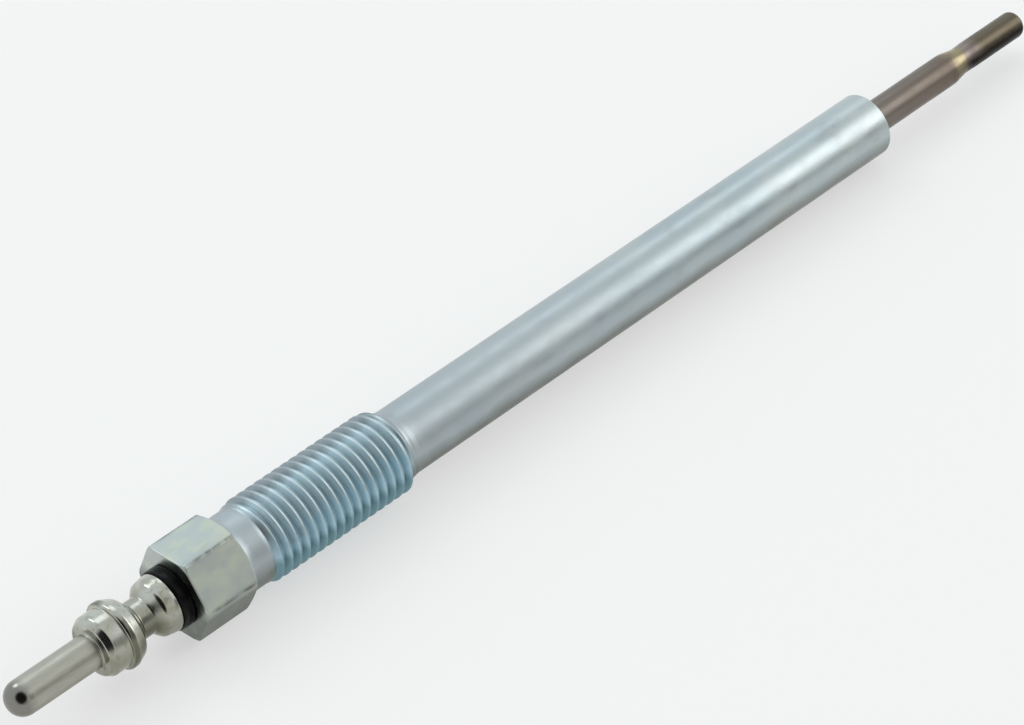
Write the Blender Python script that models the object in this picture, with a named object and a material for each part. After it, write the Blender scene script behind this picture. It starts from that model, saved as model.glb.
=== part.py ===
"""A diesel glow plug with a push-on pin terminal and a metal-sheathed heater rod.

The plug lies along +X, its terminal pin at -X and its heater tip at +X, turned as it comes
to rest on a table. The origin is on the plug's axis at mid-length, +Z is up, and lengths are
in metres. Each piece of the plug is one object; cutters are drawn as wire and aren't pieces.
"""

import math

import bmesh
import bpy
import numpy as np

MM = 0.001

# Terminal: a pin for a push-on connector, two collars and the waist crimped on the rod
PIN_DIAMETER = 4.0 * MM
PIN_LENGTH = 11.0 * MM
PIN_TIP_ROUND = 1.8 * MM
FRONT_COLLAR_DIAMETER = 7.1 * MM
FRONT_COLLAR_LENGTH = 2.6 * MM
FRONT_COLLAR_ROUND = 0.9 * MM
FRONT_COLLAR_DROP = 0.45 * MM
FLANGE_DIAMETER = 8.0 * MM
FLANGE_LENGTH = 0.7 * MM
FLANGE_BACK_LENGTH = 2.1 * MM
WAIST_DIAMETER = 4.4 * MM
WAIST_LENGTH = 1.6 * MM
REAR_COLLAR_DIAMETER = 6.8 * MM
REAR_COLLAR_LENGTH = 2.6 * MM
REAR_COLLAR_ROUND = 1.3 * MM
REAR_COLLAR_RIM = 0.4 * MM
CRIMP_DEPTH = 8.0 * MM
DRILL_HALF_ANGLE = math.radians(59)

# The terminal's turned curves, as shares of a stretch's length and of its rise
FRONT_COLLAR_CURVE = ((0.0, 0.0), (0.5, 0.67), (1.0, 1.0))
FLANGE_BACK_CURVE = ((0.24, 0.89), (0.52, 0.73), (0.71, 0.55), (0.9, 0.14))
REAR_COLLAR_CURVE = ((0.35, 0.4), (0.62, 0.72), (1.0, 0.91))

# Insulating washer and the O-ring behind its stem
WASHER_DIAMETER = 7.2 * MM
WASHER_THICKNESS = 1.4 * MM
WASHER_EDGE = 0.2 * MM
STEM_LENGTH = 2.2 * MM
O_RING_SECTION = 1.36 * MM

# Steel body: spanner hex, neck, M10 x 1.25 thread, end chamfer and plain shank
BODY_LENGTH = 110.3 * MM
HEX_ACROSS_FLATS = 10.0 * MM
HEX_ACROSS_CORNERS = 11.4 * MM
HEX_LENGTH = 7.2 * MM
HEX_FACE_DIAMETER = 10.75 * MM
HEX_BACK_DIAMETER = 9.9 * MM
HEX_CHAMFER_ANGLE = math.radians(30)
HEX_TURN = math.radians(21)
NECK_DIAMETER = 9.1 * MM
NECK_LENGTH = 2.7 * MM
NECK_FILLET = 0.3 * MM
THREAD_DIAMETER = 10.0 * MM
THREAD_PITCH = 1.25 * MM
THREAD_LENGTH = 20.25 * MM
THREAD_RUN_OUT = 1.4 * MM
THREAD_END_LENGTH = 1.95 * MM
SHANK_DIAMETER = 8.0 * MM
SHANK_END_CHAMFER = 0.12 * MM
MAIN_BORE_DIAMETER = 5.0 * MM
COUNTERBORE_DIAMETER = 6.0 * MM

# Heater rod: a closed sheath swaged to a thinner tip
SHEATH_DIAMETER = 4.1 * MM
SHEATH_TIP_DIAMETER = 3.46 * MM
SHEATH_WALL = 0.5 * MM
SHEATH_END_WALL = 0.8 * MM
SHEATH_REACH = 28.6 * MM
SHEATH_SEAT_LENGTH = 20.0 * MM
SHEATH_TIP_LENGTH = 10.2 * MM
SHEATH_SWAGE_LENGTH = 3.2 * MM
SHEATH_TIP_ROUND = 0.8 * MM

# Inside the sheath: rubber seal, rod end, two coils joined in series and packed magnesia
ROD_DIAMETER = 3.0 * MM
ROD_NECK_DIAMETER = 1.9 * MM
ROD_NECK_LENGTH = 8.0 * MM
SPIGOT_DIAMETER = 0.9 * MM
SPIGOT_LENGTH = 1.8 * MM
SEAL_DEPTH = 0.5 * MM
SEAL_LENGTH = 4.0 * MM
SEAL_EDGE = 0.1 * MM
COIL_WIRE_DIAMETER = 0.36 * MM
COIL_COVER = 0.25 * MM
WOUND_PITCH = 0.55 * MM
REGULATING_LENGTH = 19.5 * MM
REGULATING_PITCH = 2.0 * MM
LINK_LENGTH = 2.2 * MM
HEATING_PITCH = 1.2 * MM
LEAD_LENGTH = 1.4 * MM
LEAD_CURL_LENGTH = 0.8 * MM

# Clearances: around a fitted piece, between seated faces, and at the weld between the coils
FIT = 0.06 * MM
SEAT = 0.05 * MM
WELD_GAP = 0.05 * MM

# Facets round each kind of piece
BODY_SEGMENTS = 40
TURNED_SEGMENTS = 24
COIL_SEGMENTS = 9
WIRE_SIDES = 5
O_RING_SIDES = 8
ARC_STEPS = 3
SWAGE_STEPS = 4

# Edges that turn by more than this stay sharp, and points closer than this are one
SHARP_EDGE = math.radians(35)
SAME_POINT = 1e-8

# Metric thread form, as shares of the pitch: flats at root and crest, and the depth cut
ROOT_FLAT = 0.167
CREST_FLAT = 0.125
THREAD_DEPTH = 0.6134

# Stations along the plug's axis
TERMINAL_LENGTH = (PIN_LENGTH + FRONT_COLLAR_LENGTH + FLANGE_LENGTH + FLANGE_BACK_LENGTH
                   + WAIST_LENGTH + REAR_COLLAR_LENGTH)
TOTAL_LENGTH = TERMINAL_LENGTH + WASHER_THICKNESS + 2 * SEAT + BODY_LENGTH + SHEATH_REACH
X_PIN_TIP = -TOTAL_LENGTH / 2
X_TERMINAL_END = X_PIN_TIP + TERMINAL_LENGTH
X_WASHER = X_TERMINAL_END + SEAT
X_BODY = X_WASHER + WASHER_THICKNESS + SEAT
X_BODY_END = X_BODY + BODY_LENGTH
X_HEATER_TIP = X_BODY_END + SHEATH_REACH
X_SHEATH = X_BODY_END - SHEATH_SEAT_LENGTH
X_SEAL = X_SHEATH + SEAL_DEPTH
X_FILLING = X_SEAL + SEAL_LENGTH + SEAT
X_FILLING_END = X_HEATER_TIP - SHEATH_END_WALL - SEAT
X_SPIGOT = X_FILLING + ROD_NECK_LENGTH - SEAL_LENGTH
X_COIL = X_SPIGOT + SEAT
X_WOUND_END = X_SPIGOT + SPIGOT_LENGTH
X_REGULATING_END = X_WOUND_END + REGULATING_LENGTH
X_HEATING = X_REGULATING_END + LINK_LENGTH
X_LEAD = X_FILLING_END - SEAT - LEAD_LENGTH
X_COIL_END = X_FILLING_END - SEAT

STEM_DIAMETER = COUNTERBORE_DIAMETER - 2 * FIT
COUNTERBORE_DEPTH = STEM_LENGTH + O_RING_SECTION + 2 * SEAT
SHEATH_BORE_DIAMETER = SHEATH_DIAMETER - 2 * SHEATH_WALL
TIP_BORE_DIAMETER = SHEATH_TIP_DIAMETER - 2 * SHEATH_WALL
COIL_DIAMETER = TIP_BORE_DIAMETER - 2 * (FIT + COIL_COVER) - COIL_WIRE_DIAMETER


def clear_scene():
    """Remove every object that the file opened with."""
    for obj in list(bpy.data.objects):
        bpy.data.objects.remove(obj, do_unlink=True)


def make_material(name, colour, metallic, roughness):
    """A Principled BSDF with a plain colour, metallic value and roughness."""
    material = bpy.data.materials.new(name)
    material.use_nodes = True
    shader = material.node_tree.nodes["Principled BSDF"]
    shader.inputs["Base Color"].default_value = (*colour, 1.0)
    shader.inputs["Metallic"].default_value = metallic
    shader.inputs["Roughness"].default_value = roughness
    return material


def add_object(name, bm, material=None):
    """Turn a bmesh into an object with outward faces and smooth round surfaces."""
    bmesh.ops.recalc_face_normals(bm, faces=bm.faces)
    mesh = bpy.data.meshes.new(name)
    bm.to_mesh(mesh)
    bm.free()
    mesh.shade_smooth()
    mesh.set_sharp_from_angle(angle=SHARP_EDGE)
    if material:
        mesh.materials.append(material)
    obj = bpy.data.objects.new(name, mesh)
    bpy.context.scene.collection.objects.link(obj)
    return obj


def add_cutter(name, bm):
    """A helper for a Boolean: drawn as wire and never rendered."""
    cutter = add_object(name, bm)
    cutter.hide_render = True
    cutter.display_type = "WIRE"
    return cutter


def combine(obj, other, operation):
    """Stack a Boolean modifier that joins, cuts or trims obj with other."""
    modifier = obj.modifiers.new(f"{operation.lower()} {other.name}", "BOOLEAN")
    modifier.operation = operation
    modifier.solver = "EXACT"
    modifier.object = other


def turned(outline, segments, closed=False):
    """Spin an outline of (x, radius) points about the X axis.

    An open outline starts and ends on the axis; a closed one makes a ring.
    """
    bm = bmesh.new()
    corners = [bm.verts.new((x, 0.0, radius)) for x, radius in outline]
    edges = [bm.edges.new(pair) for pair in zip(corners[:-1], corners[1:])]
    if closed:
        edges.append(bm.edges.new((corners[-1], corners[0])))
    bmesh.ops.spin(bm, geom=corners + edges, cent=(0, 0, 0), axis=(1, 0, 0),
                   angle=2 * math.pi, steps=segments, use_merge=True)
    bmesh.ops.remove_doubles(bm, verts=bm.verts, dist=SAME_POINT)
    return bm


def arc(centre_x, centre_radius, size, start, end, steps=ARC_STEPS):
    """Points of a round in an outline, from angle start to end, measured from +X."""
    return [(centre_x + size * math.cos(angle), centre_radius + size * math.sin(angle))
            for angle in np.linspace(start, end, steps + 1)]


def turned_curve(x, radius, length, rise, shares):
    """Points of a curve in an outline, from pairs of shares of its length and of its rise."""
    return [(x + length * along, radius + rise * height) for along, height in shares]


def swept_wire(path, radials, diameter):
    """A round wire along a path; radials point away from the coil's axis at each point."""
    tangents = np.gradient(path, axis=0)
    tangents /= np.linalg.norm(tangents, axis=1, keepdims=True)
    normals = radials - tangents * np.sum(radials * tangents, axis=1, keepdims=True)
    normals /= np.linalg.norm(normals, axis=1, keepdims=True)
    binormals = np.cross(tangents, normals)
    bm = bmesh.new()
    rings = []
    for centre, normal, binormal in zip(path, normals, binormals):
        angles = np.arange(WIRE_SIDES) * 2 * math.pi / WIRE_SIDES
        points = centre + diameter / 2 * (np.outer(np.cos(angles), normal)
                                          + np.outer(np.sin(angles), binormal))
        rings.append([bm.verts.new(point) for point in points])
    for ring, following in zip(rings[:-1], rings[1:]):
        for side in range(WIRE_SIDES):
            beside = (side + 1) % WIRE_SIDES
            bm.faces.new((ring[side], ring[beside], following[beside], following[side]))
    bm.faces.new(rings[0])
    bm.faces.new(rings[-1])
    return bm


def coil_line(start, end):
    """Centre line of the two coils between two stations, and its radial directions.

    The turns are tight on the rod's spigot, open in the regulating coil and closer again
    in the heating coil, which curls in at its end and runs along the axis to the tip.
    """
    zones = [X_COIL, X_WOUND_END, X_REGULATING_END, X_HEATING, X_LEAD, X_COIL_END]
    pitches = [WOUND_PITCH, REGULATING_PITCH, REGULATING_PITCH, HEATING_PITCH, HEATING_PITCH]
    turns = np.concatenate([[0.0], np.cumsum(np.diff(zones) / pitches)])
    marks = np.arange(0.0, turns[-1], 1 / COIL_SEGMENTS)
    stations = np.interp(marks, turns, zones)
    inside = stations[(stations > start) & (stations < end)]
    x = np.concatenate([[start], inside, [end]])
    angle = 2 * math.pi * np.interp(x, zones, turns)
    radius = np.interp(x, [X_LEAD, X_LEAD + LEAD_CURL_LENGTH], [COIL_DIAMETER / 2, 0.0])
    radials = np.stack([np.zeros_like(x), np.cos(angle), np.sin(angle)], axis=1)
    path = radius[:, None] * radials
    path[:, 0] = x
    return path, radials


def terminal_pin(material):
    """The turned terminal: pin, collar, flange, waist and rear collar, bored for the rod."""
    pin = PIN_DIAMETER / 2
    front = FRONT_COLLAR_DIAMETER / 2
    flange = FLANGE_DIAMETER / 2
    waist = WAIST_DIAMETER / 2
    rear = REAR_COLLAR_DIAMETER / 2
    bore = ROD_DIAMETER / 2 + FIT
    x_collar = X_PIN_TIP + PIN_LENGTH
    x_flange = x_collar + FRONT_COLLAR_LENGTH
    x_flange_back = x_flange + FLANGE_LENGTH
    x_waist = x_flange_back + FLANGE_BACK_LENGTH
    x_rear = x_waist + WAIST_LENGTH
    quarter = math.pi / 2
    outline = [(X_PIN_TIP, 0.0)]
    outline += arc(X_PIN_TIP + PIN_TIP_ROUND, pin - PIN_TIP_ROUND, PIN_TIP_ROUND,
                   math.pi, quarter)
    outline += [(x_collar, pin)]
    outline += turned_curve(x_collar, front - FRONT_COLLAR_DROP, FRONT_COLLAR_ROUND,
                            FRONT_COLLAR_DROP, FRONT_COLLAR_CURVE)
    outline += [(x_flange - SEAT, front), (x_flange, flange), (x_flange_back, flange)]
    outline += turned_curve(x_flange_back, waist, FLANGE_BACK_LENGTH, flange - waist,
                            FLANGE_BACK_CURVE)
    outline += [(x_waist, waist), (x_rear, waist)]
    outline += turned_curve(x_rear, waist, REAR_COLLAR_ROUND, rear - waist, REAR_COLLAR_CURVE)
    outline += [(X_TERMINAL_END - REAR_COLLAR_RIM, rear), (X_TERMINAL_END, rear)]
    outline += [(X_TERMINAL_END, bore), (X_TERMINAL_END - CRIMP_DEPTH, bore)]
    outline += [(X_TERMINAL_END - CRIMP_DEPTH - bore / math.tan(DRILL_HALF_ANGLE), 0.0)]
    return add_object("terminal_pin", turned(outline, TURNED_SEGMENTS), material)


def connecting_rod(material):
    """The rod that carries the current: crimped in the terminal, necked down for the seal."""
    rod = ROD_DIAMETER / 2
    neck = ROD_NECK_DIAMETER / 2
    spigot = SPIGOT_DIAMETER / 2
    chamfer = (rod - neck) / 2
    x_start = X_TERMINAL_END - CRIMP_DEPTH + SEAT
    x_shoulder = X_SEAL - SEAL_DEPTH
    outline = [(x_start, 0.0), (x_start, rod - chamfer), (x_start + chamfer, rod)]
    outline += [(x_shoulder - chamfer, rod), (x_shoulder, neck), (X_SPIGOT, neck)]
    outline += [(X_SPIGOT, spigot), (X_WOUND_END, spigot), (X_WOUND_END, 0.0)]
    return add_object("connecting_rod", turned(outline, TURNED_SEGMENTS), material)


def insulating_washer(material):
    """The black washer under the terminal, its stem centred in the body's counterbore."""
    hole = ROD_DIAMETER / 2 + FIT
    rim = WASHER_DIAMETER / 2
    stem = STEM_DIAMETER / 2
    x_back = X_WASHER + WASHER_THICKNESS
    x_end = X_BODY + STEM_LENGTH
    outline = [(X_WASHER, hole), (X_WASHER, rim - WASHER_EDGE), (X_WASHER + WASHER_EDGE, rim)]
    outline += [(x_back - WASHER_EDGE, rim), (x_back, rim - WASHER_EDGE), (x_back, stem)]
    outline += [(x_end, stem), (x_end, hole)]
    return add_object("insulating_washer", turned(outline, TURNED_SEGMENTS, closed=True),
                      material)


def o_ring(material):
    """The rubber ring between the rod and the counterbore, behind the washer's stem."""
    groove = (COUNTERBORE_DIAMETER - ROD_DIAMETER) / 4
    middle = (COUNTERBORE_DIAMETER + ROD_DIAMETER) / 4
    section = min(O_RING_SECTION / 2, groove - FIT)
    x_middle = X_BODY + STEM_LENGTH + SEAT + O_RING_SECTION / 2
    outline = arc(x_middle, middle, section, 0.0, 2 * math.pi, O_RING_SIDES)[:-1]
    return add_object("o_ring", turned(outline, TURNED_SEGMENTS, closed=True), material)


def thread_radius(x, crest):
    """Radius of the threaded part: crest is 1.0 on a crest and 0.0 in a root.

    The thread grows out of the rolled neck and is cut off by the cone of its end chamfer.
    """
    x_run = X_BODY + HEX_LENGTH + NECK_LENGTH
    x_end = x_run + THREAD_LENGTH
    major = THREAD_DIAMETER / 2
    root = major - THREAD_DEPTH * THREAD_PITCH
    run = [x_run, x_run + THREAD_RUN_OUT]
    high = np.interp(x, run, [NECK_DIAMETER / 2, major])
    low = np.interp(x, run, [NECK_DIAMETER / 2, root])
    cone = np.interp(x, [x_end, x_end + THREAD_END_LENGTH], [major, SHANK_DIAMETER / 2])
    return np.minimum(low + crest * (high - low), cone)


def body_barrel():
    """Neck, thread and shank as one closed solid.

    Plain stretches are rings of points. The thread is a grid whose columns follow the
    right-hand helix, four to a turn: both ends of the root flat and of the crest flat. One
    turn of plain surface at each end lets the helix meet a flat ring. The points start half
    a facet round, so that the plug lies on a flat facet and not on an edge between two.
    """
    flank = (1 - ROOT_FLAT - CREST_FLAT) / 2
    offsets = [0.0, ROOT_FLAT, ROOT_FLAT + flank, ROOT_FLAT + flank + CREST_FLAT]
    crests = [0.0, 0.0, 1.0, 1.0]
    x_hex_back = X_BODY + HEX_LENGTH
    x_grid = x_hex_back + NECK_LENGTH - THREAD_PITCH
    x_thread_end = x_hex_back + NECK_LENGTH + THREAD_LENGTH + THREAD_END_LENGTH
    turns = math.ceil((x_thread_end - x_grid) / THREAD_PITCH)
    x_grid_end = x_grid + (turns + 1) * THREAD_PITCH
    per_turn = len(offsets)
    last = per_turn * turns
    neck = NECK_DIAMETER / 2
    shank = SHANK_DIAMETER / 2

    bm = bmesh.new()
    angles = (np.arange(BODY_SEGMENTS) + 0.5) * 2 * math.pi / BODY_SEGMENTS

    def add_point(x, radius, angle):
        return bm.verts.new((x, radius * math.cos(angle), radius * math.sin(angle)))

    def add_rings(outline):
        return [[add_point(x, radius, angle) for angle in angles] for x, radius in outline]

    def bridge(ring, following):
        for here in range(BODY_SEGMENTS):
            there = (here + 1) % BODY_SEGMENTS
            bm.faces.new((ring[here], ring[there], following[there], following[here]))

    # The barrel starts inside the hexagon, and a short shoulder keeps the fillet off its back
    x_fillet = x_hex_back + NECK_FILLET / 5
    fillet = arc(x_fillet + NECK_FILLET, neck + NECK_FILLET, NECK_FILLET,
                 math.pi, 1.5 * math.pi)
    before = add_rings([(x_hex_back - HEX_LENGTH / 4, neck + NECK_FILLET)] + fillet
                       + [(x_grid - THREAD_PITCH / 8, neck)])
    after = add_rings([(x_grid_end + THREAD_PITCH / 8, shank),
                       (X_BODY_END - SHANK_END_CHAMFER, shank),
                       (X_BODY_END, shank - SHANK_END_CHAMFER)])

    grid = []
    for row, angle in enumerate(angles):
        points = []
        for column in range(last + 1):
            turn, corner = divmod(column, per_turn)
            x = x_grid + THREAD_PITCH * (turn + offsets[corner] + row / BODY_SEGMENTS)
            points.append(add_point(x, thread_radius(x, crests[corner]), angle))
        grid.append(points)
    for row in range(BODY_SEGMENTS - 1):
        here = grid[row]
        there = grid[row + 1]
        for column in range(last):
            bm.faces.new((here[column], here[column + 1], there[column + 1], there[column]))
        bm.faces.new((before[-1][row], here[0], there[0], before[-1][row + 1]))
        bm.faces.new((here[last], after[0][row], after[0][row + 1], there[last]))

    # The last row meets the first one turn further along
    here = grid[-1]
    there = grid[0]
    for column in range(last - per_turn):
        ahead = column + per_turn
        bm.faces.new((here[column], here[column + 1], there[ahead + 1], there[ahead]))
    bm.faces.new([before[-1][-1], here[0]] + there[per_turn::-1] + [before[-1][0]])
    bm.faces.new(here[last - per_turn:] + [after[0][-1], after[0][0], there[last]])

    for rings in (before, after):
        for ring, following in zip(rings[:-1], rings[1:]):
            bridge(ring, following)
    bm.faces.new(before[0])
    bm.faces.new(after[-1])
    return bm


def hex_bar():
    """A length of hexagon bar for the spanner hex, one corner HEX_TURN off straight up."""
    corner_radius = HEX_ACROSS_FLATS / 2 / math.cos(math.pi / 6)
    bm = bmesh.new()
    ends = []
    for x in (X_BODY, X_BODY + HEX_LENGTH):
        corners = []
        for corner in range(6):
            angle = HEX_TURN + corner * math.pi / 3
            corners.append(bm.verts.new((x, -corner_radius * math.sin(angle),
                                         corner_radius * math.cos(angle))))
        ends.append(corners)
        bm.faces.new(corners)
    for corner in range(6):
        beside = (corner + 1) % 6
        bm.faces.new((ends[0][corner], ends[0][beside], ends[1][beside], ends[1][corner]))
    return bm


def hex_chamfers():
    """The turned blank that breaks the hexagon bar's edges and trims both ends to a cone."""
    widest = HEX_ACROSS_CORNERS / 2
    face = HEX_FACE_DIAMETER / 2
    back = HEX_BACK_DIAMETER / 2
    slope = math.tan(HEX_CHAMFER_ANGLE)
    overhang = HEX_LENGTH / 20
    outline = [(X_BODY - overhang, 0.0), (X_BODY - overhang, face - overhang / slope)]
    outline += [(X_BODY + (widest - face) * slope, widest)]
    outline += [(X_BODY + HEX_LENGTH - (widest - back) * slope, widest)]
    outline += [(X_BODY + HEX_LENGTH + overhang, back - overhang / slope)]
    outline += [(X_BODY + HEX_LENGTH + overhang, 0.0)]
    return turned(outline, BODY_SEGMENTS + BODY_SEGMENTS // 2)


def body_bores():
    """The stepped hole through the body: counterbore, main bore and the sheath's press fit."""
    overhang = SHANK_DIAMETER / 4
    counterbore = COUNTERBORE_DIAMETER / 2
    main = MAIN_BORE_DIAMETER / 2
    seat = SHEATH_DIAMETER / 2 + FIT
    x_step = X_BODY + COUNTERBORE_DEPTH
    outline = [(X_BODY - overhang, 0.0), (X_BODY - overhang, counterbore)]
    outline += [(x_step, counterbore), (x_step, main)]
    outline += [(X_SHEATH - (main - seat), main), (X_SHEATH, seat)]
    outline += [(X_BODY_END + overhang, seat), (X_BODY_END + overhang, 0.0)]
    return turned(outline, TURNED_SEGMENTS)


def body_shell(material):
    """The plated steel body: barrel with its thread, spanner hex, and the hole through both."""
    body = add_object("body_shell", body_barrel(), material)
    spanner_hex = add_cutter("spanner_hex", hex_bar())
    combine(spanner_hex, add_cutter("hex_blank", hex_chamfers()), "INTERSECT")
    combine(body, spanner_hex, "UNION")
    combine(body, add_cutter("body_bores", body_bores()), "DIFFERENCE")
    return body


def heater_sheath(material):
    """The closed tube of heat-resistant alloy, pressed in the body and swaged at its tip.

    The swaged taper is half a cosine wave from the full diameter down to the tip's.
    """
    outer = SHEATH_DIAMETER / 2
    tip = SHEATH_TIP_DIAMETER / 2
    bore = SHEATH_BORE_DIAMETER / 2
    tip_bore = TIP_BORE_DIAMETER / 2
    x_tip_part = X_HEATER_TIP - SHEATH_TIP_LENGTH
    x_swage = x_tip_part - SHEATH_SWAGE_LENGTH
    outline = [(X_HEATER_TIP - SHEATH_END_WALL, 0.0), (X_HEATER_TIP - SHEATH_END_WALL, tip_bore)]
    outline += [(x_tip_part, tip_bore), (x_swage, bore), (X_SHEATH, bore), (X_SHEATH, outer)]
    outline += [(x_swage + SHEATH_SWAGE_LENGTH * share,
                 tip + (outer - tip) * (1 + math.cos(math.pi * share)) / 2)
                for share in np.linspace(0, 1, SWAGE_STEPS + 1)]
    outline += arc(X_HEATER_TIP - SHEATH_TIP_ROUND, tip - SHEATH_TIP_ROUND, SHEATH_TIP_ROUND,
                   math.pi / 2, 0.0)
    outline += [(X_HEATER_TIP, 0.0)]
    return add_object("heater_sheath", turned(outline, TURNED_SEGMENTS), material)


def sheath_seal(material):
    """The rubber plug that closes the sheath's mouth around the rod's neck."""
    hole = ROD_NECK_DIAMETER / 2 + FIT
    rim = SHEATH_BORE_DIAMETER / 2 - FIT
    x_end = X_SEAL + SEAL_LENGTH
    edge = min(SEAL_EDGE, (rim - hole) / 2)
    outline = [(X_SEAL, hole), (X_SEAL, rim - edge), (X_SEAL + edge, rim), (x_end, rim)]
    outline += [(x_end, hole)]
    return add_object("sheath_seal", turned(outline, TURNED_SEGMENTS, closed=True), material)


def magnesia_filling(material):
    """The packed powder: it fills the sheath around the rod's end and the coils."""
    wide = SHEATH_BORE_DIAMETER / 2 - FIT
    narrow = TIP_BORE_DIAMETER / 2 - FIT
    pocket = max(ROD_NECK_DIAMETER, COIL_DIAMETER + COIL_WIRE_DIAMETER) / 2 + FIT
    x_tip_part = X_HEATER_TIP - SHEATH_TIP_LENGTH
    x_pocket_end = X_WOUND_END + SEAT
    outline = [(x_pocket_end, 0.0), (x_pocket_end, pocket), (X_FILLING, pocket)]
    outline += [(X_FILLING, wide), (x_tip_part - SHEATH_SWAGE_LENGTH, wide)]
    outline += [(x_tip_part, narrow), (X_FILLING_END, narrow), (X_FILLING_END, 0.0)]
    filling = add_object("magnesia_filling", turned(outline, TURNED_SEGMENTS), material)
    path, radials = coil_line(X_WOUND_END - COIL_WIRE_DIAMETER, X_FILLING_END + SEAT)
    channel = swept_wire(path, radials, COIL_WIRE_DIAMETER + 2 * FIT)
    combine(filling, add_cutter("coil_channel", channel), "DIFFERENCE")
    return filling


def coils(regulating_material, heating_material):
    """The regulating coil, wound on the rod's spigot, and the heating coil after it."""
    x_weld = (X_REGULATING_END + X_HEATING) / 2
    path, radials = coil_line(X_COIL, x_weld - WELD_GAP / 2)
    add_object("regulating_coil", swept_wire(path, radials, COIL_WIRE_DIAMETER),
               regulating_material)
    path, radials = coil_line(x_weld + WELD_GAP / 2, X_COIL_END)
    add_object("heating_coil", swept_wire(path, radials, COIL_WIRE_DIAMETER), heating_material)


def main():
    clear_scene()
    plating = make_material("zinc plating", (0.56, 0.60, 0.62), 1.0, 0.38)
    nickel = make_material("nickel plating", (0.62, 0.61, 0.56), 1.0, 0.25)
    bare_steel = make_material("bare steel", (0.50, 0.50, 0.50), 1.0, 0.4)
    heated_alloy = make_material("heat-tinted alloy", (0.30, 0.22, 0.14), 1.0, 0.35)
    regulating_wire = make_material("regulating wire", (0.55, 0.53, 0.50), 1.0, 0.4)
    heating_wire = make_material("heating wire", (0.45, 0.38, 0.32), 1.0, 0.45)
    powder = make_material("magnesia", (0.85, 0.84, 0.80), 0.0, 0.9)
    black_plastic = make_material("black plastic", (0.01, 0.01, 0.012), 0.0, 0.25)
    o_ring_rubber = make_material("o-ring rubber", (0.02, 0.02, 0.02), 0.0, 0.6)
    seal_rubber = make_material("seal rubber", (0.25, 0.06, 0.03), 0.0, 0.6)

    terminal_pin(nickel)
    connecting_rod(bare_steel)
    insulating_washer(black_plastic)
    o_ring(o_ring_rubber)
    body_shell(plating)
    heater_sheath(heated_alloy)
    sheath_seal(seal_rubber)
    magnesia_filling(powder)
    coils(regulating_wire, heating_wire)


main()
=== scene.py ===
"""The looks of a diesel glow plug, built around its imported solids.

The plug lies along +X with its terminal pin at -X, as in the frame, and lengths are in metres.
The sections follow the plug as it is put together, from the inside out: the coils, the filling,
the rubber pieces and the rod, the heater sheath, the steel body, the washer and the terminal. The
table, the lights and the camera come last.
"""

import bpy
import numpy as np
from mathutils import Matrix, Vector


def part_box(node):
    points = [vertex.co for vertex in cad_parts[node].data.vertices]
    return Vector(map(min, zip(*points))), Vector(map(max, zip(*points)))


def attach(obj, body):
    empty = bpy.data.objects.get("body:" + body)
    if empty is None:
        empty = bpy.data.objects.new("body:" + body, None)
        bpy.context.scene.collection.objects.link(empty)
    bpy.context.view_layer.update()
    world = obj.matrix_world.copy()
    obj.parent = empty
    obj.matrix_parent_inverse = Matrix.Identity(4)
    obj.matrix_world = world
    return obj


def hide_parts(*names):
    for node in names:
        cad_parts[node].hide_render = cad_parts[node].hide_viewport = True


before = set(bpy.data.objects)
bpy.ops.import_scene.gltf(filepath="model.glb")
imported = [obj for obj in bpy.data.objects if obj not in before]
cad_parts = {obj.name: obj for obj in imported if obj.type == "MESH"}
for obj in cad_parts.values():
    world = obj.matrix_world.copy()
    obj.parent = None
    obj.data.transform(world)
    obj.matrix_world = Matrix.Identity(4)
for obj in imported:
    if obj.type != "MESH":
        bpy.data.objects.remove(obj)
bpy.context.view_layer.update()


# Heating and regulating coil
# Two coils of resistance wire in series, wound from drawn wire and welded end to end. They are
# dark from the heat of welding and lie buried in the powder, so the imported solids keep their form.
MM = 0.001
WIRE_GREY = (0.30, 0.28, 0.26)
HEATING_BROWN = (0.16, 0.11, 0.08)
REGULATING_BROWN = (0.22, 0.20, 0.17)
WIRE_PATCH = 1.4 * MM
WIRE_ROUGHNESS = (0.32, 0.52)
WIRE_LINE = 0.08 * MM
WIRE_LINE_STRETCH = (6, 1, 1)
WIRE_DEPTH = 0.004 * MM

# A noise pattern lies mostly between 0.3 and 0.7: these limits blend over most or all of that
SOFT = (0.35, 0.65)
WIDE = (0.3, 0.7)


def start_material(name, metallic=0.0):
    """A new material with a plain Principled shader; returns the material, tree and shader."""
    material = bpy.data.materials.new(name)
    material.use_nodes = True
    tree = material.node_tree
    shader = tree.nodes["Principled BSDF"]
    shader.inputs["Metallic"].default_value = metallic
    return material, tree, shader


def add_noise(tree, size, stretch=(1, 1, 1), detail=3.0):
    """Cloudy pattern in object space: its patches are size across, times stretch along X, Y, Z."""
    place = tree.nodes.new("ShaderNodeTexCoord")
    scale = tree.nodes.new("ShaderNodeMapping")
    scale.inputs["Scale"].default_value = [1 / (size * share) for share in stretch]
    noise = tree.nodes.new("ShaderNodeTexNoise")
    noise.inputs["Scale"].default_value = 1.0
    noise.inputs["Detail"].default_value = detail
    tree.links.new(place.outputs["Object"], scale.inputs["Vector"])
    tree.links.new(scale.outputs["Vector"], noise.inputs["Vector"])
    return noise.outputs["Fac"]


def remap(tree, value, low, high, to_low=0.0, to_high=1.0):
    """The value moved from the range low to high into to_low to to_high, and held there."""
    move = tree.nodes.new("ShaderNodeMapRange")
    for socket, number in zip(("From Min", "From Max", "To Min", "To Max"),
                              (low, high, to_low, to_high)):
        move.inputs[socket].default_value = number
    tree.links.new(value, move.inputs["Value"])
    return move.outputs["Result"]


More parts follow.
